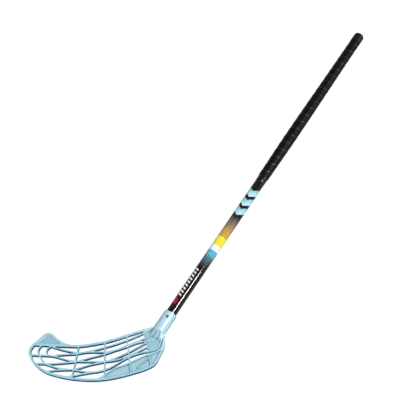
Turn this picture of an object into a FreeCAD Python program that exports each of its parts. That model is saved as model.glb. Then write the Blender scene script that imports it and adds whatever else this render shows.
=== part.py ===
import FreeCAD, Part
import math
import os

# A youth floorball stick, lying with its blade flat and its hollow forehand face upwards.
# Sizes are in millimetres and angles in degrees. The origin is the centre of the butt's flat end.
# +X runs out of the butt along the shaft, and +Z stands out of the forehand face of the blade.

# Shaft: a round composite tube
SHAFT_LENGTH = 857.0
SHAFT_DIAMETER = 20.8
SHAFT_WALL = 1.6

# End cap: a rubber cup over the tube's end, with a hollow stem pushed into the bore
CAP_WALL = 1.45
CAP_END_THICKNESS = 6.0
CAP_SKIRT_LENGTH = 19.0
CAP_STEM_LENGTH = 28.0
CAP_STEM_WALL = 2.5
CAP_EDGE_RADIUS = 4.0
CAP_FIT_CLEARANCE = 0.05

# Grip: layers of foam under a wound tape, held at its lower end by a turn of finishing tape
GRIP_LENGTH = 451.5
GRIP_CAP_GAP = 0.5
CUSHION_END_THICKNESS = 0.3
CUSHION_SWELL_THICKNESS = 1.5
CUSHION_SWELL_HEIGHT = 125.0
CUSHION_LAYERS = 6
TAPE_PITCH = 21.5
TAPE_START_ANGLE = 214.0
TAPE_SEAM = 0.6
TAPE_THIN_EDGE = 0.6
TAPE_THICK_EDGE = 1.0
TAPE_CLEARANCE = 0.25
ARCS_PER_TURN = 4
FINISHING_TAPE_WIDTH = 14.0
FINISHING_TAPE_THICKNESS = 0.3
FINISHING_TAPE_GAP = 0.5

# Printed film around the bare shaft between the socket and the grip
FILM_THICKNESS = 0.15
FILM_END_GAP = 1.0

# Socket of the blade, and the glue that fills the room between it and the shaft
SOCKET_WALL = 2.35
SOCKET_DEPTH = 41.0
SOCKET_FLOOR_GAP = 0.5
SOCKET_EDGE_RADIUS = 0.8
GLUE_THICKNESS = 0.25
GLUE_MOUTH_GAP = 1.5

# Screw through the front of the socket into the shaft
SCREW_FROM_MOUTH = 11.5
SCREW_HEAD_DIAMETER = 5.2
SCREW_HEAD_HEIGHT = 1.5
SCREW_HEAD_SUNK = 1.3
SCREW_SHANK_DIAMETER = 3.0
SCREW_SHANK_LENGTH = 7.5
SCREW_RECESS_WIDTH = 0.8
SCREW_RECESS_LENGTH = 3.0
SCREW_RECESS_DEPTH = 0.9
SCREW_CLEARANCE = 0.1

# Blade: reach is from the socket's foot to the toe, drop is from the foot to the lowest of the sole
LIE_ANGLE = 58.25
BLADE_REACH = 238.0
BLADE_DROP = 98.0
BLADE_THICKNESS = 9.0
HOOK_START = 60.0
HOOK_RADIUS = 1000.0
RIM_WIDTH = 4.4
BAR_WIDTH = 2.7
CROSS_RIB_WIDTH = 2.2
WEB_THICKNESS = 4.0
HUMP_THICKNESS = 7.4
SMALLEST_WINDOW = 7.0

# Root of the blade: ribs fan out down a slope from the socket's foot, over a lower core between them
FLARE_END_SHARE = 0.3
FAN_LENGTH = 26.0
FAN_HALF_WIDTH = 24.0
CORE_LENGTH = 19.0
CORE_HALF_WIDTH = 15.0
CORE_STEP = 0.6

# Plan of the blade's face in percent of its reach, towards the toe, and of its drop, upwards.
# A station is a straight line across the blade, from a point near its top edge to one on its sole.
HEEL_STATION = ((13.0, 2.0), (5.0, -73.0))
FIRST_RIB_STATION = ((25.6, -8.2), (20.6, -87.0))
MIDDLE_RIB_STATION = ((42.4, -21.4), (40.8, -98.0))
BETWEEN_STATION = ((52.5, -26.7), (53.4, -99.8))
TOE_RIB_STATION = ((62.2, -30.6), (66.0, -98.0))
TOE_NEAR_STATION = ((71.4, -30.6), (72.3, -95.8))
TOE_FAR_STATION = ((79.8, -30.6), (80.7, -91.3))
STATIONS = (HEEL_STATION, FIRST_RIB_STATION, MIDDLE_RIB_STATION, BETWEEN_STATION,
            TOE_RIB_STATION, TOE_NEAR_STATION, TOE_FAR_STATION)
CROSS_RIB_STATIONS = (FIRST_RIB_STATION, MIDDLE_RIB_STATION, TOE_RIB_STATION)

# Outline beyond the stations: the hump and round of the toe, and the back of the heel
TOE_OUTLINE = ((69.7, -30.3), (75.6, -25.0), (80.7, -16.3), (83.6, -10.7), (86.1, -8.9), (88.7, -10.9),
               (92.4, -19.9), (96.6, -30.1), (99.2, -38.8), (100.0, -47.0), (98.9, -57.0), (96.2, -68.0),
               (91.2, -79.6), (86.1, -87.0))
HEEL_OUTLINE = ((2.5, -68.9), (0.0, -59.7), (-2.5, -47.0), (-4.6, -35.7), (-5.3, -26.5), (-5.0, -14.3))
HUMP_LINE = -30.6
WINDOW_TOP_LINE = -35.5

# Lattice bars from the socket to the toe: the place on the socket's foot where the bar starts, from -1 at
# the back to 1 at the front, or none; root points on the heel; then the share of the way from top edge to
# sole at each station in turn; then points at the toe
RISING_BARS = (
    (0.86, ((7.6, 0.6),), (0.10, 0.145, 0.17, 0.206, 0.257, 0.30, 0.37), ()),
    (0.42, ((5.6, -8.4),), (0.24, 0.275, 0.34, 0.39, 0.49, 0.55, 0.63), ((93.5, -70.0),)),
    (None, (), (0.36, 0.45, 0.535, 0.583, 0.71, 0.757, 0.85), ((87.0, -85.5),)),
    (-0.84, ((-2.3, -17.5), (1.3, -35.7)), (0.585, 0.57, 0.745, 0.792, 0.90, 0.985), ()),
)
FALLING_BARS = (
    (0.04, ((2.6, -13.0), (5.7, -20.8)), (0.32, 0.30, 0.29, 0.234, 0.225, 0.187, 0.122), ((85.3, -33.0),)),
    (-0.42, ((1.2, -22.6),), (0.475, 0.54, 0.535, 0.492, 0.48, 0.451, 0.401),
     ((88.2, -53.9), (98.5, -54.0))),
)
LOWER_FALLING_BAR = (None, ((40.9, -77.5), (53.3, -82.9)), (0.73, 0.734, 0.727),
                     ((86.1, -70.7), (94.0, -70.4)))
WEB_EDGE = (-0.97, ((-3.8, -20.0), (-1.3, -38.4)), (0.67, 0.715),
            ((29.4, -71.8), (35.3, -78.0), (39.9, -86.7), (45.4, -95.0)))
TOE_ARCS = (((90.0, -33.2), (92.2, -39.0), (92.9, -45.9), (92.0, -52.4), (90.4, -59.0), (86.4, -70.0)),
            ((83.4, -35.6), (85.6, -39.6), (86.6, -44.9), (86.2, -49.6), (84.2, -53.4)))
WEB_RIB = ((5.0, -51.0), (10.0, -61.0), (16.4, -74.5))
LAST_WHOLE_STATION = 4
OUTLINE_FOOT_SHARE = 0.98
ABOVE_TOP_EDGE = -0.2
BEYOND_TOE = 110.0
INSET_STEPS = 8

# Places along the shaft, worked out from the butt
SHAFT_RADIUS = SHAFT_DIAMETER / 2
BORE_RADIUS = SHAFT_RADIUS - SHAFT_WALL
SHAFT_TOP = -CAP_END_THICKNESS
SHAFT_FOOT = SHAFT_TOP - SHAFT_LENGTH
SOCKET_FOOT = SHAFT_FOOT - SOCKET_FLOOR_GAP
SOCKET_MOUTH = SOCKET_FOOT + SOCKET_DEPTH
SOCKET_BORE_RADIUS = SHAFT_RADIUS + GLUE_THICKNESS
SOCKET_RADIUS = SOCKET_BORE_RADIUS + SOCKET_WALL
SCREW_X = SOCKET_MOUTH - SCREW_FROM_MOUTH
GRIP_TOP = SHAFT_TOP - CAP_SKIRT_LENGTH - GRIP_CAP_GAP
GRIP_FOOT = GRIP_TOP - GRIP_LENGTH
BLADE_ROOM = 2 * BLADE_DROP

SAME_PLACE = 0.01

X_AXIS = FreeCAD.Vector(1, 0, 0)
Z_AXIS = FreeCAD.Vector(0, 0, 1)


def along_shaft(x, radius=0.0):
    """A point above the shaft's axis, at a place along it."""
    return FreeCAD.Vector(x, 0, radius)


def rod(start, end, radius):
    """A solid cylinder on the shaft's axis."""
    return Part.makeCylinder(radius, end - start, along_shaft(start), X_AXIS)


def tube(start, end, inner, outer):
    """A hollow cylinder on the shaft's axis."""
    return rod(start, end, outer).cut(rod(start, end, inner))


def turned(profile):
    """The solid that a closed row of points makes when it is turned about the shaft's axis."""
    return Part.Face(Part.makePolygon(profile + profile[:1])).revolve(FreeCAD.Vector(), X_AXIS, 360)


def round_edge_at(solid, x):
    """The edge round a turned solid at a place along the shaft, in a list."""
    return [edge for edge in solid.Edges
            if abs(edge.BoundBox.XMin - x) < SAME_PLACE and abs(edge.BoundBox.XMax - x) < SAME_PLACE]


def screw_hole(radius):
    """The round of a screw hole from the shaft's axis out through the front of the socket."""
    return Part.makeCylinder(radius, 2 * SOCKET_RADIUS, along_shaft(SCREW_X), Z_AXIS)


# The shaft and what is wrapped round it

def make_shaft_tube():
    """The tube, with the hole that the blade's screw cuts in its foot."""
    return tube(SHAFT_FOOT, SHAFT_TOP, BORE_RADIUS, SHAFT_RADIUS).cut(
        screw_hole(SCREW_SHANK_DIAMETER / 2 + SCREW_CLEARANCE))


def make_shaft_film():
    """The printed film, from just above the socket to just below the finishing tape."""
    return tube(SOCKET_MOUTH + FILM_END_GAP, GRIP_FOOT - FILM_END_GAP,
                SHAFT_RADIUS, SHAFT_RADIUS + FILM_THICKNESS)


def make_socket_glue():
    """The sleeve of set glue between the shaft's foot and the socket's wall."""
    sleeve = tube(SHAFT_FOOT, SOCKET_MOUTH - GLUE_MOUTH_GAP, SHAFT_RADIUS, SOCKET_BORE_RADIUS)
    return sleeve.cut(screw_hole(SCREW_SHANK_DIAMETER / 2 + SCREW_CLEARANCE))


def make_end_cap():
    """The cup, its rounded flat end, and the stem inside the tube's bore."""
    body = rod(GRIP_TOP + GRIP_CAP_GAP, 0, SHAFT_RADIUS + CAP_FIT_CLEARANCE + CAP_WALL)
    body = body.makeFillet(CAP_EDGE_RADIUS, round_edge_at(body, 0))
    skirt_room = rod(GRIP_TOP, SHAFT_TOP, SHAFT_RADIUS + CAP_FIT_CLEARANCE)
    stem_radius = BORE_RADIUS - CAP_FIT_CLEARANCE
    stem = tube(SHAFT_TOP - CAP_STEM_LENGTH, SHAFT_TOP, stem_radius - CAP_STEM_WALL, stem_radius)
    return body.cut(skirt_room).fuse(stem).removeSplitter()


# The grip

FINISHING_TAPE_TOP = GRIP_FOOT + FINISHING_TAPE_WIDTH
CUSHION_FOOT = FINISHING_TAPE_TOP + FINISHING_TAPE_GAP
CUSHION_SWELL = CUSHION_FOOT + CUSHION_SWELL_HEIGHT
CUSHION_SHAPE = ((CUSHION_FOOT, CUSHION_END_THICKNESS), (CUSHION_SWELL, CUSHION_SWELL_THICKNESS),
                 (GRIP_TOP, CUSHION_END_THICKNESS))


def cushion_radius(x):
    """The radius at which the winding lies on the cushion, at a place along the shaft."""
    low, swell, high = CUSHION_SHAPE
    start, end = (low, swell) if x < swell[0] else (swell, high)
    share = (x - start[0]) / (end[0] - start[0])
    return SHAFT_RADIUS + start[1] + share * (end[1] - start[1])


def layer_steps(end):
    """The steps that the foam layers' ends make, from one end of the grip in to the swell."""
    layer = (CUSHION_SWELL_THICKNESS - CUSHION_END_THICKNESS) / CUSHION_LAYERS
    under = SHAFT_RADIUS + CUSHION_END_THICKNESS
    steps = [along_shaft(end, under)]
    for number in range(CUSHION_LAYERS):
        x = end + (number + 0.5) / CUSHION_LAYERS * (CUSHION_SWELL - end)
        steps += [along_shaft(x, under + number * layer), along_shaft(x, under + (number + 1) * layer)]
    return steps


def make_grip_cushion():
    """The foam layers, each shorter than the one beneath, that make the grip swell at its lower third."""
    outside = layer_steps(CUSHION_FOOT) + layer_steps(GRIP_TOP)[::-1]
    inside = [along_shaft(GRIP_TOP, SHAFT_RADIUS), along_shaft(CUSHION_FOOT, SHAFT_RADIUS)]
    return turned(outside + inside)


def make_finishing_tape():
    """The turn of thin tape that holds down the lower end of the winding."""
    return tube(GRIP_FOOT, FINISHING_TAPE_TOP, SHAFT_RADIUS, SHAFT_RADIUS + FINISHING_TAPE_THICKNESS)


def winding_point(turn, width):
    """The middle of the tape's inner face after some turns from the winding's foot."""
    x = CUSHION_FOOT + width / 2 + turn * TAPE_PITCH
    radius = cushion_radius(x) + TAPE_CLEARANCE
    angle = math.radians(TAPE_START_ANGLE) + 2 * math.pi * turn
    return FreeCAD.Vector(x, radius * math.cos(angle), radius * math.sin(angle))


def winding_tangent(turn, width):
    """The direction in which the tape runs there."""
    step = 0.001
    forward = winding_point(turn + step, width) - winding_point(turn - step, width)
    return forward.normalize()


def arc_from(start, tangent, end):
    """The arc that leaves a point along a tangent and reaches another point."""
    chord = end - start
    bend = tangent.getAngle(chord)
    apex_side = (tangent * (chord.Length / 2 / math.cos(bend)) - chord * 0.5).normalize()
    middle = (start + end) * 0.5 + apex_side * (chord.Length / 2 * math.tan(bend / 2))
    return Part.Arc(start, middle, end).toShape()


def biarc(start, start_tangent, end, end_tangent):
    """Two arcs, tangent to each other, that join two points along their tangents."""
    across = end - start
    sum_along = across.dot(start_tangent + end_tangent)
    spread = 2 * (1 - start_tangent.dot(end_tangent))
    reach = (math.sqrt(sum_along ** 2 + spread * across.dot(across)) - sum_along) / spread
    meeting = (start + end + (start_tangent - end_tangent) * reach) * 0.5
    second = arc_from(end, end_tangent * -1, meeting)
    return arc_from(start, start_tangent, meeting), second


def make_grip_tape():
    """One tape wound up the cushion, thicker at the edge that lies over the turn before it."""
    width = TAPE_PITCH - TAPE_SEAM
    arcs = int(ARCS_PER_TURN * (GRIP_TOP - CUSHION_FOOT - width) / TAPE_PITCH)
    turns = [arc / ARCS_PER_TURN for arc in range(arcs + 1)]
    edges = []
    for begin, finish in zip(turns, turns[1:]):
        edges.extend(biarc(winding_point(begin, width), winding_tangent(begin, width),
                           winding_point(finish, width), winding_tangent(finish, width)))
    first = winding_point(0, width)
    section = ((-width / 2, 0), (width / 2, 0), (width / 2, TAPE_THICK_EDGE), (-width / 2, TAPE_THIN_EDGE))
    outward = FreeCAD.Vector(0, first.y, first.z).normalize()
    corners = [first + X_AXIS * along + outward * out for along, out in section]
    sweep = Part.BRepOffsetAPI.MakePipeShell(Part.Wire(edges))
    sweep.setBiNormalMode(X_AXIS)
    sweep.add(Part.makePolygon(corners + corners[:1]))
    sweep.build()
    sweep.makeSolid()
    gap = min(winding_point(turn + 1, width).x - winding_point(turn, width).x for turn in turns) - width
    print("least gap between the tape's turns:", round(gap, 3))
    return sweep.shape()


# The blade's plan

def on_plan(percent):
    """A point of the blade's plan, before the blade is turned to the shaft."""
    return FreeCAD.Vector(-BLADE_REACH * percent[0] / 100, BLADE_DROP * percent[1] / 100, 0)


def on_socket_foot(share):
    """A point across the socket's foot, from -1 at its back to 1 at its front."""
    lie = math.radians(LIE_ANGLE)
    return FreeCAD.Vector(-math.sin(lie), math.cos(lie), 0) * (share * SOCKET_RADIUS)


def across_station(station, share):
    """A point part of the way from the top edge to the sole."""
    top, sole = on_plan(station[0]), on_plan(station[1])
    return top + (sole - top) * share


def smooth_curve(points):
    """One smooth curve through a row of points."""
    curve = Part.BSplineCurve()
    curve.interpolate(points)
    return curve


def strip(points, width):
    """A face of even width along the smooth curve through some points."""
    curve = smooth_curve(points)
    left, right = [], []
    for point in points:
        tangent = curve.tangent(curve.parameter(point))[0]
        aside = FreeCAD.Vector(-tangent.y, tangent.x, 0) * (width / 2)
        left.append(point + aside)
        right.append(point - aside)
    sides = [smooth_curve(left).toShape(), smooth_curve(right).toShape()]
    ends = [Part.makeLine(left[0], right[0]), Part.makeLine(left[-1], right[-1])]
    return Part.Face(Part.Wire([sides[0], ends[1], sides[1], ends[0]]))


def plan_strip(percents, width):
    """A strip through points of the plan that are given in percent."""
    return strip([on_plan(percent) for percent in percents], width)


def toe_box(low):
    """The rectangle of the plan that lies above a line and beyond the last rib, towards the toe."""
    left, right = TOE_RIB_STATION[0][0], BEYOND_TOE
    corners = [on_plan(corner) for corner in ((left, low), (right, low), (right, 0), (left, 0))]
    return Part.Face(Part.makePolygon(corners + corners[:1]))


def outline_points():
    """The blade's outline from the front of the socket's foot, round the toe, to the back of it."""
    top = [on_plan(station[0]) for station in STATIONS[:LAST_WHOLE_STATION + 1]]
    sole = [on_plan(station[1]) for station in reversed(STATIONS)]
    toe = [on_plan(percent) for percent in TOE_OUTLINE]
    heel = [on_plan(percent) for percent in HEEL_OUTLINE]
    front, back = on_socket_foot(OUTLINE_FOOT_SHARE), on_socket_foot(-OUTLINE_FOOT_SHARE)
    return [front] + top + toe + sole + heel + [back]


def inset(curve, distance, count):
    """The curve that runs at a distance inside the outline, which goes round against the clock."""
    points = []
    for step in range(count + 1):
        place = curve.FirstParameter + (curve.LastParameter - curve.FirstParameter) * step / count
        tangent = curve.tangent(place)[0]
        points.append(curve.value(place) + FreeCAD.Vector(-tangent.y, tangent.x, 0) * distance)
    return smooth_curve(points)


def closed_face(curve):
    """The face inside a curve whose ends are joined by a straight line."""
    edge = curve.toShape()
    return Part.Face(Part.Wire([edge, Part.makeLine(curve.EndPoint, curve.StartPoint)]))


def bar_points(bar, stations):
    """A lattice bar's points from the socket or the heel to its end at the toe."""
    foot, root, shares, toe = bar
    start = [] if foot is None else [on_socket_foot(foot)]
    middle = [across_station(station, share) for station, share in zip(stations, shares)]
    return start + [on_plan(percent) for percent in root] + middle + [on_plan(percent) for percent in toe]


def web_side():
    """The side of the plan that has a web: behind the heel's line and below the web's edge."""
    shares, toe = WEB_EDGE[2:]
    edge = smooth_curve(bar_points((None, (), shares, toe), STATIONS))
    heel_top = across_station(HEEL_STATION, ABOVE_TOP_EDGE)
    around = [edge.EndPoint, FreeCAD.Vector(edge.EndPoint.x, -BLADE_ROOM, 0),
              FreeCAD.Vector(BLADE_ROOM, -BLADE_ROOM, 0), FreeCAD.Vector(BLADE_ROOM, heel_top.y, 0),
              heel_top, edge.StartPoint]
    return Part.Face(Part.Wire([edge.toShape()] + Part.makePolygon(around).Edges))


def large_faces(shape):
    """The faces of a plan that are large enough to mould."""
    return [face for face in shape.Faces if face.Area > SMALLEST_WINDOW]


def blade_plan():
    """The blade's plan: the full-depth frame, the heel's pockets over the web, and the toe's."""
    outline = smooth_curve(outline_points())
    field = closed_face(inset(outline, RIM_WIDTH, INSET_STEPS * len(outline_points())))

    bars = [strip(bar_points(bar, STATIONS), BAR_WIDTH) for bar in RISING_BARS + FALLING_BARS + (WEB_EDGE,)]
    bars.append(strip(bar_points(LOWER_FALLING_BAR, STATIONS[LAST_WHOLE_STATION:]), BAR_WIDTH))
    bars.extend(plan_strip(arc, BAR_WIDTH) for arc in TOE_ARCS)
    ribs = [plan_strip(station, CROSS_RIB_WIDTH) for station in CROSS_RIB_STATIONS]
    web_ribs = [plan_strip(line, CROSS_RIB_WIDTH) for line in (HEEL_STATION, WEB_RIB)]

    windows = large_faces(field.cut([web_side(), toe_box(WINDOW_TOP_LINE)] + bars + ribs))
    heel_pockets = large_faces(field.common(web_side()).cut(bars + ribs + web_ribs))
    toe_pockets = large_faces(field.common(toe_box(HUMP_LINE)))
    frame = closed_face(outline).cut(windows + heel_pockets + toe_pockets)
    return frame, heel_pockets, toe_pockets


# The blade

def bent_slab(thickness):
    """A slab that is flat at the heel and bends up towards the toe."""
    sweep = BLADE_REACH / HOOK_RADIUS
    below, above = -thickness / 2, thickness / 2

    def bend(height, angle):
        radius = HOOK_RADIUS - height
        x = -HOOK_START - radius * math.sin(angle)
        return FreeCAD.Vector(x, 0, HOOK_RADIUS - radius * math.cos(angle))

    low_arc = Part.Arc(bend(below, 0), bend(below, sweep / 2), bend(below, sweep)).toShape()
    high_arc = Part.Arc(bend(above, sweep), bend(above, sweep / 2), bend(above, 0)).toShape()
    low_heel = FreeCAD.Vector(BLADE_ROOM, 0, below)
    high_heel = FreeCAD.Vector(BLADE_ROOM, 0, above)
    wire = Part.Wire([Part.makeLine(low_heel, bend(below, 0)), low_arc,
                      Part.makeLine(bend(below, sweep), bend(above, sweep)), high_arc,
                      Part.makeLine(bend(above, 0), high_heel), Part.makeLine(high_heel, low_heel)])
    slab = Part.Face(wire).extrude(FreeCAD.Vector(0, 2 * BLADE_ROOM, 0))
    return slab.translated(FreeCAD.Vector(0, -BLADE_ROOM, 0))


def upright(face):
    """The block over a face of the plan, taller than the bent blade."""
    return face.translated(Z_AXIS * -BLADE_ROOM).extrude(Z_AXIS * (2 * BLADE_ROOM))


def set_at_foot(shape):
    """A shape of the plan, turned to the shaft and set at the socket's foot."""
    return shape.rotated(FreeCAD.Vector(), Z_AXIS, -LIE_ANGLE).translated(along_shaft(SOCKET_FOOT))


def flare(radius, length, half_width, half_height):
    """A solid that leads from a round at the socket's foot to a flat ellipse inside the blade."""
    wires = []
    for x, wide, high in ((SOCKET_FOOT, radius, radius), (SOCKET_FOOT - length, half_width, half_height)):
        middle = along_shaft(x)
        curve = Part.Ellipse(middle + FreeCAD.Vector(0, wide, 0), along_shaft(x, high), middle)
        wires.append(Part.Wire(curve.toShape()))
    return Part.makeLoft(wires, True, True)


def make_blade():
    """The whole moulding: lattice, webs, the fan of ribs at the root, and the socket with its bore."""
    frame, heel_pockets, toe_pockets = blade_plan()
    lattice = upright(frame).common(bent_slab(BLADE_THICKNESS))
    webs = [upright(pocket).common(bent_slab(WEB_THICKNESS)) for pocket in heel_pockets]
    webs += [upright(pocket).common(bent_slab(HUMP_THICKNESS)) for pocket in toe_pockets]
    fan_room = flare(SOCKET_RADIUS, FAN_LENGTH, FAN_HALF_WIDTH, BLADE_THICKNESS * FLARE_END_SHARE)
    fan = set_at_foot(upright(frame)).common(fan_room)
    core = flare(SOCKET_RADIUS - CORE_STEP, CORE_LENGTH, CORE_HALF_WIDTH, WEB_THICKNESS * FLARE_END_SHARE)
    socket = rod(SOCKET_FOOT, SOCKET_MOUTH, SOCKET_RADIUS)
    socket = socket.makeFillet(SOCKET_EDGE_RADIUS, round_edge_at(socket, SOCKET_MOUTH))
    bore = rod(SOCKET_FOOT, SOCKET_MOUTH, SOCKET_BORE_RADIUS)
    seat = Part.makeCylinder(SCREW_HEAD_DIAMETER / 2 + SCREW_CLEARANCE, SOCKET_RADIUS,
                             along_shaft(SCREW_X, SOCKET_RADIUS - SCREW_HEAD_SUNK), Z_AXIS)
    shank_hole = screw_hole(SCREW_SHANK_DIAMETER / 2 + SCREW_CLEARANCE)
    return set_at_foot(lattice.fuse(webs)).fuse([fan, core, socket]).cut([bore, seat, shank_hole])


def make_blade_screw():
    """A pan-head screw with a cross recess."""
    seat = SOCKET_RADIUS - SCREW_HEAD_SUNK
    head = Part.makeCylinder(SCREW_HEAD_DIAMETER / 2, SCREW_HEAD_HEIGHT, along_shaft(SCREW_X, seat), Z_AXIS)
    shank = Part.makeCylinder(SCREW_SHANK_DIAMETER / 2, SCREW_SHANK_LENGTH,
                              along_shaft(SCREW_X, seat - SCREW_SHANK_LENGTH), Z_AXIS)
    slot = Part.makeBox(SCREW_RECESS_LENGTH, SCREW_RECESS_WIDTH, SCREW_RECESS_DEPTH,
                        FreeCAD.Vector(-SCREW_RECESS_LENGTH / 2, -SCREW_RECESS_WIDTH / 2, 0))
    cross = slot.fuse(slot.rotated(FreeCAD.Vector(), Z_AXIS, 90))
    cross.translate(along_shaft(SCREW_X, seat + SCREW_HEAD_HEIGHT - SCREW_RECESS_DEPTH))
    return head.fuse(shank).cut(cross)


os.makedirs("parts", exist_ok=True)
PIECES = {
    "shaft_tube": make_shaft_tube,
    "shaft_film": make_shaft_film,
    "socket_glue": make_socket_glue,
    "blade": make_blade,
    "blade_screw": make_blade_screw,
    "grip_cushion": make_grip_cushion,
    "grip_tape": make_grip_tape,
    "finishing_tape": make_finishing_tape,
    "end_cap": make_end_cap,
}
for node, make in PIECES.items():
    shape = make()
    print(node, "solids", len(shape.Solids), "valid", shape.isValid(), "volume", round(shape.Volume, 1))
    shape.exportStep("parts/" + node + ".step")
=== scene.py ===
import math

import bmesh
import bpy
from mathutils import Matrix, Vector


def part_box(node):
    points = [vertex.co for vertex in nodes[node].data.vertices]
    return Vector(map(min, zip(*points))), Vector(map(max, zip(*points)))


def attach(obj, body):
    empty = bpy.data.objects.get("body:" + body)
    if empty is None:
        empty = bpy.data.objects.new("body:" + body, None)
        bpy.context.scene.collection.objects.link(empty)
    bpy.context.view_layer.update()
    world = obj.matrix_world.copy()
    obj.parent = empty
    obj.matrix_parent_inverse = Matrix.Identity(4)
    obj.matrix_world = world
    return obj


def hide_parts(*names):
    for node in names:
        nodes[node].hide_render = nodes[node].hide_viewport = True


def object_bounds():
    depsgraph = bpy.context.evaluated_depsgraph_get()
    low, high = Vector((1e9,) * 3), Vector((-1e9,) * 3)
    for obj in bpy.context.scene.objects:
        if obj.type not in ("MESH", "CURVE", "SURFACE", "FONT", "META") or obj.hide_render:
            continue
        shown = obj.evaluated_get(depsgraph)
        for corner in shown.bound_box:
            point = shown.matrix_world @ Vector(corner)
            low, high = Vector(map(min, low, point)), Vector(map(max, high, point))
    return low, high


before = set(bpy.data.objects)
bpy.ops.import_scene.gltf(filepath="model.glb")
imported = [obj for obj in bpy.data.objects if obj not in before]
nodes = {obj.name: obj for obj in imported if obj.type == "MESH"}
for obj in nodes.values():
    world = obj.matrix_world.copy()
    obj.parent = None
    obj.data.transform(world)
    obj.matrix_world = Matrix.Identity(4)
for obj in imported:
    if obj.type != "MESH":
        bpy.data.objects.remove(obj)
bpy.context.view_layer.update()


# Shaft tube: a round tube of woven fibre composite, cured on a mandrel and cut square at both ends.
# It runs from the rubber cap to the floor of the blade's socket, and most of it is covered.

def paint(red, green, blue):
    """A colour given as screen values from 0 to 255, as the light values that a shader takes."""
    full_value = 255
    straight_end = 0.04045
    straight_slope = 12.92
    curve_shift = 0.055
    curve_power = 2.4
    values = []
    for value in (red, green, blue):
        share = value / full_value
        if share <= straight_end:
            values.append(share / straight_slope)
        else:
            values.append(((share + curve_shift) / (1 + curve_shift)) ** curve_power)
    return (*values, 1.0)


def add_node(tree, kind, inputs=None, **settings):
    """A new node with its settings, and with its inputs set to values or joined to other nodes."""
    node = tree.nodes.new(kind)
    for name, value in settings.items():
        setattr(node, name, value)
    for name, value in (inputs or {}).items():
        if isinstance(value, bpy.types.NodeSocket):
            tree.links.new(value, node.inputs[name])
        else:
            node.inputs[name].default_value = value
    return node


def calc(tree, operation, first, second=0.0, third=0.0, clamp=False):
    """The result of one sum in a node tree."""
    node = add_node(tree, "ShaderNodeMath", {0: first, 1: second, 2: third}, operation=operation,
                    use_clamp=clamp)
    return node.outputs[0]


def blended(tree, share, first, second):
    """A colour that goes from the first to the second as the share goes from 0 to 1."""
    share_input, first_colour, second_colour, colour_output = 0, 6, 7, 2
    node = add_node(tree, "ShaderNodeMix", {share_input: share, first_colour: first, second_colour: second},
                    data_type="RGBA")
    return node.outputs[colour_output]


def object_place(tree):
    """Places on a piece, in metres in the shared frame."""
    return add_node(tree, "ShaderNodeTexCoord").outputs["Object"]


def clouds(tree, place, scale, detail):
    """A soft random pattern of values from 0 to 1."""
    node = add_node(tree, "ShaderNodeTexNoise", {"Vector": place, "Scale": scale, "Detail": detail})
    return node.outputs[0]


def new_material(name, plain_values):
    """A material with one Principled shader, with that shader's plain values set on its own sockets."""
    material = bpy.data.materials.new(name)
    material.use_nodes = True
    shader = material.node_tree.nodes["Principled BSDF"]
    for socket, value in plain_values.items():
        shader.inputs[socket].default_value = value
    return material, material.node_tree, shader


def shaft_places(tree):
    """Places on a round piece: metres along the shaft, and the angle from the front towards -Y."""
    along, across, rise = add_node(tree, "ShaderNodeSeparateXYZ", {0: object_place(tree)}).outputs
    return along, calc(tree, "ARCTAN2", calc(tree, "MULTIPLY", across, -1.0), rise)


def fine_surface():
    """The shared finish of moulded and printed pieces: fine grain, and marks from handling."""
    marks_scale = 45.0
    group = bpy.data.node_groups.new("fine_surface", "ShaderNodeTree")
    for name in ("Grain Scale", "Roughness", "Spread"):
        group.interface.new_socket(name, in_out="INPUT", socket_type="NodeSocketFloat")
    for name in ("Roughness", "Height"):
        group.interface.new_socket(name, in_out="OUTPUT", socket_type="NodeSocketFloat")
    given = group.nodes.new("NodeGroupInput").outputs
    result = group.nodes.new("NodeGroupOutput").inputs
    place = object_place(group)
    grain = clouds(group, place, scale=given["Grain Scale"], detail=3.0)
    marks = add_node(group, "ShaderNodeTexNoise", {"Vector": place, "Scale": marks_scale, "Detail": 6.0,
                                                   "Roughness": 0.7})
    swing = calc(group, "SUBTRACT", marks.outputs[0], PATTERN_MIDDLE)
    rough = calc(group, "MULTIPLY_ADD", swing, given["Spread"], given["Roughness"])
    group.links.new(rough, result["Roughness"])
    group.links.new(grain, result["Height"])
    return group


def finish_surface(tree, shader, grain_scale, roughness, spread, depth):
    """Gives a shader the shared fine finish, with a grain of some depth in metres."""
    finish = tree.nodes.new("ShaderNodeGroup")
    finish.node_tree = FINE_SURFACE
    finish.inputs["Grain Scale"].default_value = grain_scale
    finish.inputs["Roughness"].default_value = roughness
    finish.inputs["Spread"].default_value = spread
    bump = add_node(tree, "ShaderNodeBump", {"Height": finish.outputs["Height"], "Distance": depth,
                                             "Strength": 1.0})
    tree.links.new(finish.outputs["Roughness"], shader.inputs["Roughness"])
    tree.links.new(bump.outputs[0], shader.inputs["Normal"])


def dress(node_name, material):
    """Gives a solid its material."""
    mesh = nodes[node_name].data
    mesh.materials.clear()
    mesh.materials.append(material)


PATTERN_MIDDLE = 0.5
FINE_SURFACE = fine_surface()
tow_width = 0.002
tows_round = 32
weave_repeat = 4.0
weave_over = 2.0
dark_tow = paint(24, 23, 23)
light_tow = paint(44, 42, 41)
composite, tree, shader = new_material("woven_composite", {"Specular IOR Level": 0.3, "Coat Weight": 0.25,
                                                           "Coat Roughness": 0.15})
along, around = shaft_places(tree)
row = calc(tree, "FLOOR", calc(tree, "DIVIDE", along, tow_width))
column = calc(tree, "FLOOR", calc(tree, "MULTIPLY", around, tows_round / math.tau))
step = calc(tree, "FLOORED_MODULO", calc(tree, "ADD", row, column), weave_repeat)
over = calc(tree, "LESS_THAN", step, weave_over)
tree.links.new(blended(tree, over, dark_tow, light_tow), shader.inputs["Base Color"])
finish_surface(tree, shader, grain_scale=900.0, roughness=0.38, spread=0.2, depth=0.00002)
dress("shaft_tube", composite)


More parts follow.
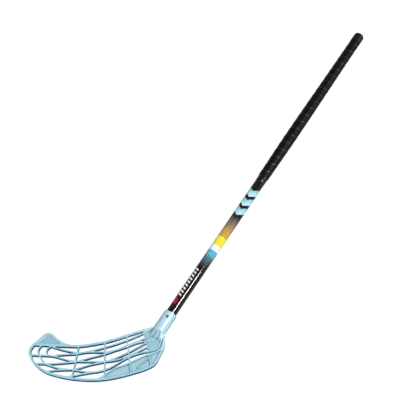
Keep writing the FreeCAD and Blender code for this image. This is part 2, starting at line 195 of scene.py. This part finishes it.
# Printed film: a thin glossy film shrunk round the bare shaft between socket and grip.
# It is nearly black, with bands of sky blue, white and yellow that fade back to black in streaks.

def ramped(tree, value, low, high, at_low=0.0, at_high=1.0):
    """A value that goes evenly from one level to another as the given value goes from low to high."""
    node = add_node(tree, "ShaderNodeMapRange", {"Value": value, "From Min": low, "From Max": high,
                                                 "To Min": at_low, "To Max": at_high})
    return node.outputs[0]


def between(tree, value, low, high, soft):
    """A mask that is 1 where a value lies between two limits, with soft edges."""
    rise = ramped(tree, value, low - soft, low + soft)
    fall = ramped(tree, value, high - soft, high + soft, 1.0, 0.0)
    return calc(tree, "MULTIPLY", rise, fall)


film_low, film_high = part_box("shaft_film")
film_dark = paint(30, 22, 20)
slate_blue = paint(92, 122, 134)
sky_blue = paint(92, 184, 216)
ice_blue = paint(206, 243, 250)
film_white = paint(250, 254, 254)
film_red = paint(178, 26, 44)
low_yellow = paint(255, 234, 44)
high_yellow = paint(255, 238, 66)
low_gold = paint(208, 174, 78)
high_gold = paint(198, 160, 84)
dull_gold = paint(150, 124, 100)
film_grey = paint(104, 98, 102)

# The bands: places along the shaft, each with the colour that is reached there.
bands = (
    (-0.8000, film_dark), (-0.7060, film_dark), (-0.6850, slate_blue), (-0.6800, sky_blue),
    (-0.6674, sky_blue), (-0.6672, film_white), (-0.6545, film_white), (-0.6543, low_yellow),
    (-0.6333, high_yellow), (-0.6331, low_gold), (-0.6140, high_gold), (-0.6020, dull_gold),
    (-0.5900, film_grey), (-0.5780, film_dark), (-0.4800, film_dark))
streak_scale = (25.0, 420.0, 420.0)
blue_fade_ends = (-0.7400, -0.6820)
blue_fade_soft = 0.002
blue_reach = 0.05
gold_fade_ends = (-0.6180, -0.5700)
gold_fade_soft = 0.006
gold_reach = 0.034

film, tree, shader = new_material("printed_film", {"IOR": 1.4, "Specular IOR Level": 0.25})
along, around = shaft_places(tree)
stretched = add_node(tree, "ShaderNodeMapping", {"Vector": object_place(tree), "Scale": streak_scale})
streaks = clouds(tree, stretched.outputs[0], scale=1.0, detail=4.0)
blue_fade = calc(tree, "MULTIPLY", between(tree, along, *blue_fade_ends, blue_fade_soft), blue_reach)
gold_fade = calc(tree, "MULTIPLY", between(tree, along, *gold_fade_ends, gold_fade_soft), gold_reach)
swing = calc(tree, "SUBTRACT", streaks, PATTERN_MIDDLE)
shifted = calc(tree, "MULTIPLY_ADD", swing, calc(tree, "ADD", blue_fade, gold_fade), along)
share = ramped(tree, shifted, film_low.x, film_high.x)
ramp = add_node(tree, "ShaderNodeValToRGB", {0: share})
stops = ramp.color_ramp.elements
while len(stops) < len(bands):
    stops.new(1.0)
for stop, (place_along, colour) in zip(stops, bands):
    stop.position = (place_along - film_low.x) / (film_high.x - film_low.x)
    stop.color = colour
printed = ramp.outputs[0]

# The print's motifs: broad pale chevrons by the grip, and slanted dashes and one red block by the socket.
chevron_start = -0.5750
chevron_pitch = 0.0250
chevron_count = 3
chevron_sweep = 0.0085
chevron_ends = (0.02, 0.68)
chevron_soft = 0.015
row_soft = 0.01
lean = calc(tree, "MULTIPLY", calc(tree, "ABSOLUTE", around), -chevron_sweep)
swept = calc(tree, "SUBTRACT", calc(tree, "ADD", along, lean), chevron_start)
chevron_step = calc(tree, "DIVIDE", swept, chevron_pitch)
in_row = between(tree, chevron_step, 0.0, float(chevron_count), row_soft)
step_share = calc(tree, "FRACT", chevron_step)
in_chevron = between(tree, step_share, *chevron_ends, chevron_soft)
chevrons = calc(tree, "MULTIPLY", in_row, in_chevron)
chevron_colour = blended(tree, step_share, ice_blue, sky_blue)
printed = blended(tree, chevrons, printed, chevron_colour)

dash_start = -0.7860
dash_pitch = 0.0078
dash_count = 9
dash_slant = 0.55
dash_ends = (0.0, 0.5)
dash_soft = 0.03
strip_angles = (-0.85, -0.08)
strip_soft = 0.02
block_ends = (-0.8060, -0.7930)
block_soft = 0.0002
dash_step = calc(tree, "DIVIDE", calc(tree, "SUBTRACT", along, dash_start), dash_pitch)
slanted = calc(tree, "MULTIPLY_ADD", around, dash_slant, dash_step)
in_dashes = between(tree, slanted, 0.0, float(dash_count), row_soft)
in_dash = between(tree, calc(tree, "FRACT", slanted), *dash_ends, dash_soft)
in_strip = between(tree, around, *strip_angles, strip_soft)
dashes = calc(tree, "MULTIPLY", calc(tree, "MULTIPLY", in_dashes, in_dash), in_strip)
printed = blended(tree, dashes, printed, film_white)
block_step = calc(tree, "MULTIPLY_ADD", around, dash_slant * dash_pitch, along)
in_block = calc(tree, "MULTIPLY", between(tree, block_step, *block_ends, block_soft), in_strip)
printed = blended(tree, in_block, printed, film_red)
tree.links.new(printed, shader.inputs["Base Color"])
finish_surface(tree, shader, grain_scale=500.0, roughness=0.08, spread=0.03, depth=0.0000004)
dress("shaft_film", film)


# Set glue: a sleeve of hot-melt glue between the shaft's foot and the socket's bore.
# It sets waxy and cloudy, and is all but hidden: its upper edge lies in a slit inside the socket's mouth.

dull_glue = paint(176, 168, 140)
pale_glue = paint(214, 206, 182)
glue, tree, shader = new_material("set_glue", {"IOR": 1.45})
cloudiness = clouds(tree, object_place(tree), scale=260.0, detail=3.0)
tree.links.new(blended(tree, cloudiness, dull_glue, pale_glue), shader.inputs["Base Color"])
finish_surface(tree, shader, grain_scale=400.0, roughness=0.5, spread=0.15, depth=0.00005)
dress("socket_glue", glue)


# Blade: one polyethylene moulding, a hooked lattice with a rim, two thin webs and the shaft's socket.
# Its steep walls are painted a deeper, darker teal than its broad faces, as painted shade.

def moulded_copy(node_name, piece_name, material, detail, most_triangles):
    """A copy of a solid whose edges are rounded a little, as the edges of moulded and rolled pieces are."""
    merge_distance = 0.00001
    smoothing = 0.5
    smoothing_rounds = 4
    shape = bmesh.new()
    shape.from_mesh(nodes[node_name].data)
    bmesh.ops.remove_doubles(shape, verts=shape.verts, dist=merge_distance)
    mesh = bpy.data.meshes.new(piece_name)
    shape.to_mesh(mesh)
    shape.free()
    piece = bpy.data.objects.new(piece_name, mesh)
    bpy.context.scene.collection.objects.link(piece)
    even = piece.modifiers.new("even_mesh", "REMESH")
    even.mode = "VOXEL"
    even.voxel_size = detail
    rounded = piece.modifiers.new("rounded_edges", "SMOOTH")
    rounded.factor = smoothing
    rounded.iterations = smoothing_rounds
    counted = piece.evaluated_get(bpy.context.evaluated_depsgraph_get())
    triangles = 2 * len(counted.data.polygons)
    thinned = piece.modifiers.new("thinned", "DECIMATE")
    thinned.ratio = min(1.0, most_triangles / triangles)
    piece.data = bpy.data.meshes.new_from_object(piece.evaluated_get(bpy.context.evaluated_depsgraph_get()))
    piece.modifiers.clear()
    piece.data.shade_smooth()
    piece.data.materials.clear()
    piece.data.materials.append(material)
    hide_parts(node_name)
    return piece


deep_face = paint(157, 206, 226)
light_face = paint(175, 220, 238)
# The socket is painted paler than the rest of the blade as painted light.
socket_painted_light = paint(190, 228, 242)
# The toe's web is painted darker as painted shade, and the heel's web lighter as painted light.
toe_web_shaded = paint(151, 196, 212)
heel_web_lit = paint(174, 213, 226)
# The grooves get this darker teal as painted shade.
groove_shade_colour = paint(44, 108, 130)
# The steep walls get this darker teal as painted shade.
shaded_wall_colour = paint(34, 132, 160)
steep_limits = (0.15, 0.85)
socket_blend = (-0.925, -0.875)
face_gloss = 0.25
plastic, tree, shader = new_material("blade_plastic", {"Specular IOR Level": 0.0, "Coat Roughness": 0.3})
normal = add_node(tree, "ShaderNodeNewGeometry").outputs["Normal"]
facing = add_node(tree, "ShaderNodeSeparateXYZ", {0: normal})
flatness = calc(tree, "ABSOLUTE", facing.outputs[2])
steep = ramped(tree, flatness, *steep_limits, 1.0, 0.0)
place = object_place(tree)
along, drop, rise = add_node(tree, "ShaderNodeSeparateXYZ", {0: place}).outputs
past_socket = ramped(tree, along, *socket_blend, 1.0, 0.0)
# A mask for the steep walls below the socket, which get painted shade.
shaded_walls = calc(tree, "MULTIPLY", steep, past_socket)
flow = clouds(tree, place, scale=22.0, detail=3.0)
broad_face = blended(tree, past_socket, socket_painted_light, blended(tree, flow, deep_face, light_face))

# The blade bends towards the toe about a far centre, and its webs lie nearer to its middle than its bars do.
lie_angle = math.radians(58.25)
socket_foot = -0.8635
hook_start = 0.06
hook_radius = 1.0
web_limits = (0.0038, 0.0043)
heel_web_limits = (0.0022, 0.0034)
reach_from = socket_foot * math.cos(lie_angle) - hook_start
reach = calc(tree, "MULTIPLY_ADD", along, -math.cos(lie_angle), reach_from)
reach = calc(tree, "MAXIMUM", calc(tree, "MULTIPLY_ADD", drop, math.sin(lie_angle), reach), 0.0)
below_centre = calc(tree, "SUBTRACT", hook_radius, rise)
squares = calc(tree, "MULTIPLY_ADD", reach, reach, calc(tree, "MULTIPLY", below_centre, below_centre))
from_middle = calc(tree, "ABSOLUTE", calc(tree, "SUBTRACT", hook_radius, calc(tree, "SQRT", squares)))
in_web = ramped(tree, from_middle, *web_limits, 1.0, 0.0)
in_heel_web = ramped(tree, from_middle, *heel_web_limits, 1.0, 0.0)
# The webs carry painted light at the heel and painted shade at the toe.
web_light_and_shade = blended(tree, in_heel_web, toe_web_shaded, heel_web_lit)
broad_face = blended(tree, in_web, broad_face, web_light_and_shade)

# Narrow grooves beside the ribs are painted darker where ambient occlusion finds them closed in: painted
# shade.
groove_width = 0.003
groove_limits = (0.65, 0.93)
groove_shade_strength = 0.7
openness = add_node(tree, "ShaderNodeAmbientOcclusion", {"Distance": groove_width}, only_local=True,
                    samples=8)
groove_shade = ramped(tree, openness.outputs["AO"], *groove_limits, groove_shade_strength, 0.0)
face = blended(tree, groove_shade, broad_face, groove_shade_colour)
tree.links.new(blended(tree, shaded_walls, face, shaded_wall_colour), shader.inputs["Base Color"])
tree.links.new(calc(tree, "MULTIPLY_ADD", shaded_walls, -face_gloss, face_gloss), shader.inputs["Coat Weight"])
finish_surface(tree, shader, grain_scale=700.0, roughness=0.3, spread=0.1, depth=0.000006)
blade = moulded_copy("blade", "moulded_blade", plastic, detail=0.0005, most_triangles=195000)
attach(blade, "stick")


# Blade screw: a small steel tapping screw with a cross recess, through the front of the socket.
# It is rolled and plated, and its head sits in a countersink.

dark_plating = paint(74, 76, 90)
light_plating = paint(104, 106, 120)
steel, tree, shader = new_material("screw_steel", {"Metallic": 1.0})
plating = clouds(tree, object_place(tree), scale=1500.0, detail=4.0)
tree.links.new(blended(tree, plating, dark_plating, light_plating), shader.inputs["Base Color"])
finish_surface(tree, shader, grain_scale=2500.0, roughness=0.34, spread=0.2, depth=0.00001)
screw = moulded_copy("blade_screw", "steel_screw", steel, detail=0.0001, most_triangles=40000)
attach(screw, "screw")


# Grip foam: layers of thin soft foam wound on under the tape, thickest at the grip's lower third.
# Nothing of it shows: it gives the grip its swelling.

def closed_outwards(mesh):
    """Merges a closed mesh's doubles, turns its faces outwards and shades it smooth but for sharp edges."""
    merge_distance = 0.000005
    sharp_angle = math.radians(40)
    shape = bmesh.new()
    shape.from_mesh(mesh)
    bmesh.ops.remove_doubles(shape, verts=shape.verts, dist=merge_distance)
    bmesh.ops.recalc_face_normals(shape, faces=shape.faces)
    shape.to_mesh(mesh)
    shape.free()
    mesh.shade_smooth()
    mesh.set_sharp_from_angle(angle=sharp_angle)


def turned_mesh(name, profile, steps):
    """A closed ring of mesh: a closed profile of places along the shaft and radii, turned about the shaft."""
    points = []
    faces = []
    count = len(profile)
    for turn in range(steps):
        angle = math.tau * turn / steps
        following = (turn + 1) % steps
        for number, (x, radius) in enumerate(profile):
            points.append((x, radius * math.cos(angle), radius * math.sin(angle)))
            ahead = (number + 1) % count
            faces.append((turn * count + number, following * count + number, following * count + ahead,
                          turn * count + ahead))
    mesh = bpy.data.meshes.new(name)
    mesh.from_pydata(points, [], faces)
    closed_outwards(mesh)
    piece = bpy.data.objects.new(name, mesh)
    bpy.context.scene.collection.objects.link(piece)
    return piece


def grip_swell(x):
    """How far the grip has swollen at a place along the shaft, from 0 at its ends to 1."""
    share = min((x - grip_foot) / (swell_place - grip_foot), (grip_top - x) / (grip_top - swell_place))
    share = min(max(share, 0.0), 1.0)
    return share * share * (3 - 2 * share)


foam_low, foam_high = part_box("grip_cushion")
grip_foot, grip_top = foam_low.x, foam_high.x
swell_distance = 0.125
swell_place = grip_foot + swell_distance
shaft_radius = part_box("shaft_tube")[1].z
foam_end = 0.0003
foam_swell = foam_high.z - shaft_radius - foam_end
foam_rings = 60
foam_steps = 48
foam_profile = [(grip_top, shaft_radius), (grip_foot, shaft_radius)]
for number in range(foam_rings + 1):
    x = grip_foot + (grip_top - grip_foot) * number / foam_rings
    foam_profile.append((x, shaft_radius + foam_end + foam_swell * grip_swell(x)))
foam = turned_mesh("grip_foam", foam_profile, foam_steps)

cell_scale = 1400.0
dark_cell = paint(20, 20, 20)
light_cell = paint(52, 52, 52)
foam_material, tree, shader = new_material("grip_foam", {"Specular IOR Level": 0.2})
cells = add_node(tree, "ShaderNodeTexVoronoi", {"Vector": object_place(tree), "Scale": cell_scale})
tree.links.new(blended(tree, cells.outputs["Distance"], dark_cell, light_cell), shader.inputs["Base Color"])
finish_surface(tree, shader, grain_scale=cell_scale, roughness=0.85, spread=0.1, depth=0.0001)
foam.data.materials.append(foam_material)
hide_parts("grip_cushion")
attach(foam, "stick")


# Grip tape: one strip of soft tacky tape, wound from the butt down so that each turn laps the last.
# Its raised edges face the butt, it is matte black with a fine grain, and it is stuck on.

tape_pitch = 0.0215
tape_start = math.radians(214)
tape_clearance = 0.00025
tape_thin = 0.00055
tape_raised = 0.0005
turn_steps = 64
strip_steps = 40
spare_turns = 2
turns = math.ceil((grip_top - grip_foot) / tape_pitch) + spare_turns
winding_radius = shaft_radius + foam_end + tape_clearance

# Each turn's raised edge is glossier, and is painted a little greyer as a painted highlight.
tape_black = paint(2, 2, 2)
tape_worn = paint(8, 8, 8)
edge_highlight_grey = paint(34, 34, 34)
edge_ends = (0.84, 0.985)
edge_soft = 0.03
edge_highlight_tint = 0.2
edge_gloss = 0.16
tape_material, tree, shader = new_material("grip_tape", {"Specular IOR Level": 0.05, "Coat Roughness": 0.3})
along, around = shaft_places(tree)
turned_by = calc(tree, "MULTIPLY_ADD", around, -1 / math.tau, (tape_start - math.pi / 2) / math.tau)
pitches = calc(tree, "DIVIDE", calc(tree, "SUBTRACT", along, grip_foot), tape_pitch)
phase = calc(tree, "FRACT", calc(tree, "ADD", pitches, turned_by))
raised_edge_sheen = between(tree, phase, *edge_ends, edge_soft)
patches = clouds(tree, object_place(tree), scale=60.0, detail=5.0)
base_black = blended(tree, patches, tape_black, tape_worn)
# The raised edges are painted greyer as a painted highlight.
edge_highlight_share = calc(tree, "MULTIPLY", raised_edge_sheen, edge_highlight_tint)
tree.links.new(blended(tree, edge_highlight_share, base_black, edge_highlight_grey), shader.inputs["Base Color"])
tree.links.new(calc(tree, "MULTIPLY", raised_edge_sheen, edge_gloss), shader.inputs["Coat Weight"])
finish_surface(tree, shader, grain_scale=1500.0, roughness=0.52, spread=0.2, depth=0.00006)

# The winding: a flat grid is laid round the foam as a helix, and a curve across it gives each turn its lap.
winding = bpy.data.node_groups.new("grip_winding", "GeometryNodeTree")
winding.interface.new_socket("Geometry", in_out="OUTPUT", socket_type="NodeSocketGeometry")
winding_values = {
    "Pitch": tape_pitch, "Turns": float(turns), "Foot": grip_foot, "Swell": swell_place, "Top": grip_top,
    "Radius": winding_radius, "Swelling": foam_swell, "Start": tape_start, "Thickness": tape_thin,
    "Raised": tape_raised}
for name in winding_values:
    winding.interface.new_socket(name, in_out="INPUT", socket_type="NodeSocketFloat")
given = winding.nodes.new("NodeGroupInput").outputs
result = winding.nodes.new("NodeGroupOutput")
strip = add_node(winding, "GeometryNodeMeshGrid", {"Size X": 1.0, "Size Y": 1.0,
                                                   "Vertices X": turns * turn_steps + 1,
                                                   "Vertices Y": strip_steps + 1})
grid_half = 0.5
grid_place = add_node(winding, "GeometryNodeInputPosition").outputs[0]
flat = add_node(winding, "ShaderNodeSeparateXYZ", {0: grid_place})
run = calc(winding, "ADD", flat.outputs[0], grid_half)
across = calc(winding, "ADD", flat.outputs[1], grid_half)
turn = calc(winding, "SUBTRACT", calc(winding, "MULTIPLY", run, given["Turns"]), 1.0)
angle = calc(winding, "MULTIPLY_ADD", turn, math.tau, given["Start"])
x = calc(winding, "MULTIPLY_ADD", calc(winding, "ADD", turn, across), given["Pitch"], given["Foot"])
rising = add_node(winding, "ShaderNodeMapRange", {"Value": x, "From Min": given["Foot"],
                                                  "From Max": given["Swell"]},
                  interpolation_type="SMOOTHSTEP")
falling = add_node(winding, "ShaderNodeMapRange", {"Value": x, "From Min": given["Top"],
                                                   "From Max": given["Swell"]},
                   interpolation_type="SMOOTHSTEP")
swollen = calc(winding, "MINIMUM", rising.outputs[0], falling.outputs[0])
inner = calc(winding, "MULTIPLY_ADD", swollen, given["Swelling"], given["Radius"])
lap = add_node(winding, "ShaderNodeFloatCurve", {"Value": across})
lap_curve = lap.mapping.curves[0]
lap_shape = ((0.0, 0.0), (0.03, 0.02), (0.2, 0.04), (0.6, 0.12), (0.79, 0.25), (0.87, 0.65), (0.92, 0.95),
             (0.945, 1.0), (0.97, 0.8), (0.985, 0.35), (1.0, 0.0))
curve_middle = 0.5
while len(lap_curve.points) < len(lap_shape):
    lap_curve.points.new(curve_middle, curve_middle)
for point, (place_across, height) in zip(lap_curve.points, lap_shape):
    point.location = (place_across, height)
    point.handle_type = "AUTO_CLAMPED"
lap.mapping.update()
height = calc(winding, "MULTIPLY_ADD", lap.outputs[0], given["Raised"], given["Thickness"])
radius = calc(winding, "ADD", inner, height)
wound_place = add_node(winding, "ShaderNodeCombineXYZ", {
    0: x, 1: calc(winding, "MULTIPLY", radius, calc(winding, "COSINE", angle)),
    2: calc(winding, "MULTIPLY", radius, calc(winding, "SINE", angle))})
wound = add_node(winding, "GeometryNodeSetPosition", {"Geometry": strip.outputs["Mesh"],
                                                      "Position": wound_place.outputs[0]})
seam_distance = 0.00001
joined = add_node(winding, "GeometryNodeMergeByDistance", {"Geometry": wound.outputs[0],
                                                           "Distance": seam_distance})
real = add_node(winding, "GeometryNodeRealizeInstances", {"Geometry": joined.outputs[0]})
coloured = add_node(winding, "GeometryNodeSetMaterial", {"Geometry": real.outputs[0],
                                                         "Material": tape_material})
winding.links.new(coloured.outputs[0], result.inputs[0])


def baked(piece_name, tree, values):
    """A plain mesh object from a geometry tree with its named inputs set."""
    holder = bpy.data.objects.new(piece_name + "_holder", bpy.data.meshes.new(piece_name + "_holder"))
    bpy.context.scene.collection.objects.link(holder)
    modifier = holder.modifiers.new(piece_name, "NODES")
    modifier.node_group = tree
    for item in tree.interface.items_tree:
        if item.in_out == "INPUT":
            modifier[item.identifier] = values[item.name]
    evaluated = holder.evaluated_get(bpy.context.evaluated_depsgraph_get())
    mesh = bpy.data.meshes.new_from_object(evaluated)
    holder.modifiers.remove(modifier)
    bpy.data.objects.remove(holder)
    piece = bpy.data.objects.new(piece_name, mesh)
    bpy.context.scene.collection.objects.link(piece)
    return piece


# The winding is cut square at both ends, and its ends are closed in to the foam and joined by an inner face.
tape = baked("grip_winding", winding, winding_values)
cut_tolerance = 0.000001
end_tolerance = 0.0005
shape = bmesh.new()
shape.from_mesh(tape.data)
for end, outward in ((grip_foot, -1.0), (grip_top, 1.0)):
    everything = shape.verts[:] + shape.edges[:] + shape.faces[:]
    bmesh.ops.bisect_plane(shape, geom=everything, dist=cut_tolerance, plane_co=(end, 0, 0),
                           plane_no=(outward, 0, 0), clear_outer=True)
rims = []
for end in (grip_foot, grip_top):
    rim = [edge for edge in shape.edges
           if edge.is_boundary and abs(edge.verts[0].co.x - end) < end_tolerance]
    drawn_in = bmesh.ops.extrude_edge_only(shape, edges=rim)["geom"]
    inner_points = [part for part in drawn_in if isinstance(part, bmesh.types.BMVert)]
    for point in inner_points:
        ring_radius = math.hypot(point.co.y, point.co.z)
        point.co.y *= winding_radius / ring_radius
        point.co.z *= winding_radius / ring_radius
    rims += [part for part in drawn_in if isinstance(part, bmesh.types.BMEdge) and part.is_boundary]
bmesh.ops.bridge_loops(shape, edges=rims)
most_corners = 4
bmesh.ops.triangulate(shape, faces=[face for face in shape.faces if len(face.verts) > most_corners])
shape.to_mesh(tape.data)
shape.free()
closed_outwards(tape.data)
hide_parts("grip_tape")
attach(tape, "stick")


# Finishing tape: a short turn of thin stretched tape that holds down the lower end of the grip.
# It is smooth and blue-black, and its cut end lies as a small step along the shaft.

finish_low, finish_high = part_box("finishing_tape")
finish_thickness = finish_high.z - shaft_radius
finish_round = 0.0003
finish_foot = 0.1
finish_shoulder = 0.6
finish_profile = (
    (finish_low.x, finish_foot), (finish_low.x, finish_shoulder), (finish_low.x + finish_round, 1.0),
    (finish_high.x - finish_round, 1.0), (finish_high.x, finish_shoulder), (finish_high.x, finish_foot))
finish_steps = 96
laps = turned_mesh("finishing_tape_turn", [(x, shaft_radius + finish_thickness * share)
                                           for x, share in finish_profile], finish_steps)
cut_angle = math.radians(40)
cut_share = 0.6
for point in laps.data.vertices:
    turned = (math.atan2(point.co.z, point.co.y) - cut_angle) % math.tau
    ring_radius = math.hypot(point.co.y, point.co.z)
    layers = cut_share + (1 - cut_share) * turned / math.tau
    thinned = shaft_radius + (ring_radius - shaft_radius) * layers
    point.co.y *= thinned / ring_radius
    point.co.z *= thinned / ring_radius

finish_black = paint(5, 5, 7)
finish_stretched = paint(14, 14, 17)
finish_material, tree, shader = new_material("finishing_tape", {"Specular IOR Level": 0.15})
stretch = clouds(tree, object_place(tree), scale=180.0, detail=4.0)
tree.links.new(blended(tree, stretch, finish_black, finish_stretched), shader.inputs["Base Color"])
finish_surface(tree, shader, grain_scale=800.0, roughness=0.3, spread=0.15, depth=0.00002)
laps.data.materials.append(finish_material)
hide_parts("finishing_tape")
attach(laps, "stick")


# End cap: a moulded rubber cup over the butt, with a hollow stem pushed into the shaft's bore.
# The rubber is black and satin, with a fine spark texture from the mould.

rubber_black = paint(4, 4, 4)
rubber_bloom = paint(13, 13, 13)
rubber, tree, shader = new_material("cap_rubber", {"Specular IOR Level": 0.1})
bloom = clouds(tree, object_place(tree), scale=120.0, detail=5.0)
tree.links.new(blended(tree, bloom, rubber_black, rubber_bloom), shader.inputs["Base Color"])
finish_surface(tree, shader, grain_scale=1800.0, roughness=0.5, spread=0.15, depth=0.00004)
cap = moulded_copy("end_cap", "rubber_cap", rubber, detail=0.0004, most_triangles=60000)
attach(cap, "cap")


# Studio: a plain white floor, one soft lamp above and to the side, and two strip lamps.
# The strips draw the highlights of shaft and grip. The camera stands where the photograph was taken from.

def seen_rays(tree):
    """A mask that is 1 for rays from the camera, also after a reflection or through a clear piece."""
    rays = add_node(tree, "ShaderNodeLightPath").outputs
    straight_or_mirrored = calc(tree, "ADD", rays["Is Camera Ray"], rays["Is Glossy Ray"])
    return calc(tree, "ADD", straight_or_mirrored, rays["Is Transmission Ray"], clamp=True)


def add_lamp(name, place, target, length, width, power):
    """A soft rectangular lamp that points at a place."""
    data = bpy.data.lights.new(name, "AREA")
    data.shape = "RECTANGLE"
    data.size = length
    data.size_y = width
    data.energy = power
    lamp = bpy.data.objects.new(name, data)
    lamp.location = place
    lamp.rotation_euler = (Vector(target) - Vector(place)).to_track_quat("-Z", "Y").to_euler()
    lamp.visible_camera = False
    bpy.context.scene.collection.objects.link(lamp)
    return lamp


low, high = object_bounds()
floor_size = 6.0
floor_glow = 0.95
floor_grey = (0.15, 0.15, 0.15, 1)
floor_mesh = bpy.data.meshes.new("floor")
floor_mesh.from_pydata([(-floor_size, -floor_size, low.z), (floor_size, -floor_size, low.z),
                        (floor_size, floor_size, low.z), (-floor_size, floor_size, low.z)],
                       [], [(0, 1, 2, 3)])
floor = bpy.data.objects.new("floor", floor_mesh)
bpy.context.scene.collection.objects.link(floor)
floor_material = bpy.data.materials.new("white_floor")
floor_material.use_nodes = True
tree = floor_material.node_tree
tree.nodes.remove(tree.nodes["Principled BSDF"])
glow = add_node(tree, "ShaderNodeEmission", {
    "Color": (1, 1, 1, 1), "Strength": calc(tree, "MULTIPLY", seen_rays(tree), floor_glow)})
matte = add_node(tree, "ShaderNodeBsdfDiffuse", {"Color": floor_grey})
both = add_node(tree, "ShaderNodeAddShader", {0: glow.outputs[0], 1: matte.outputs[0]})
tree.links.new(both.outputs[0], tree.nodes["Material Output"].inputs["Surface"])
floor_mesh.materials.append(floor_material)

# The room is white at the horizon and dimmer overhead as it is seen, and gives an even weak light.
horizon_limits = (0.3, 0.6)
horizon_level = 1.0
ceiling_level = 0.35
room_light = 0.3
world = bpy.data.worlds.new("studio")
bpy.context.scene.world = world
world.use_nodes = True
tree = world.node_tree
direction = add_node(tree, "ShaderNodeTexCoord").outputs["Generated"]
upward = add_node(tree, "ShaderNodeSeparateXYZ", {0: direction})
seen_level = ramped(tree, upward.outputs[2], *horizon_limits, horizon_level, ceiling_level)
above_light = calc(tree, "SUBTRACT", seen_level, room_light)
level = calc(tree, "MULTIPLY_ADD", seen_rays(tree), above_light, room_light)
tree.links.new(level, tree.nodes["Background"].inputs["Strength"])
tree.nodes["Background"].inputs["Color"].default_value = (1, 1, 1, 1)

middle = (low + high) / 2
key_along = 0.2
key_across = -0.9
key_height = 1.7
key_size = 1.8
key_power = 38.0
key_place = (middle.x + key_along, middle.y + key_across, key_height)
key = add_lamp("soft_key", key_place, middle, key_size, key_size, key_power)
key.visible_glossy = False

# Each strip lamp: its name, its middle along the shaft, its length, width, degrees from upright and power.
strips = (("shaft_strip", -0.525, 0.75, 0.25, 36, 122.0), ("grip_strip", 0.92, 0.95, 0.1, 52, 25.0))
strip_distance = 1.5
for name, strip_middle, strip_length, strip_width, degrees, power in strips:
    strip_angle = math.radians(degrees)
    strip_place = (strip_middle, -strip_distance * math.sin(strip_angle),
                   strip_distance * math.cos(strip_angle))
    strip_lamp = add_lamp(name, strip_place, (strip_middle, 0, 0), strip_length, strip_width, power)
    strip_lamp.visible_diffuse = False

camera_data = bpy.data.cameras.new("photo_camera")
camera_data.sensor_width = 36.0
camera_data.lens = 70.2
camera = bpy.data.objects.new("photo_camera", camera_data)
camera_target = Vector((-0.5789, 0.0848, 0.0))
camera_distance = 1.62
camera_turn = math.radians(-58.25)
camera_rise = math.radians(60)
level_share = math.cos(camera_rise)
backwards = Vector((math.sin(camera_turn) * level_share, -math.cos(camera_turn) * level_share,
                    math.sin(camera_rise)))
camera.location = camera_target + camera_distance * backwards
camera.rotation_euler = (-backwards).to_track_quat("-Z", "Y").to_euler()
bpy.context.scene.collection.objects.link(camera)
bpy.context.scene.camera = camera
bpy.context.scene.view_settings.view_transform = "Standard"
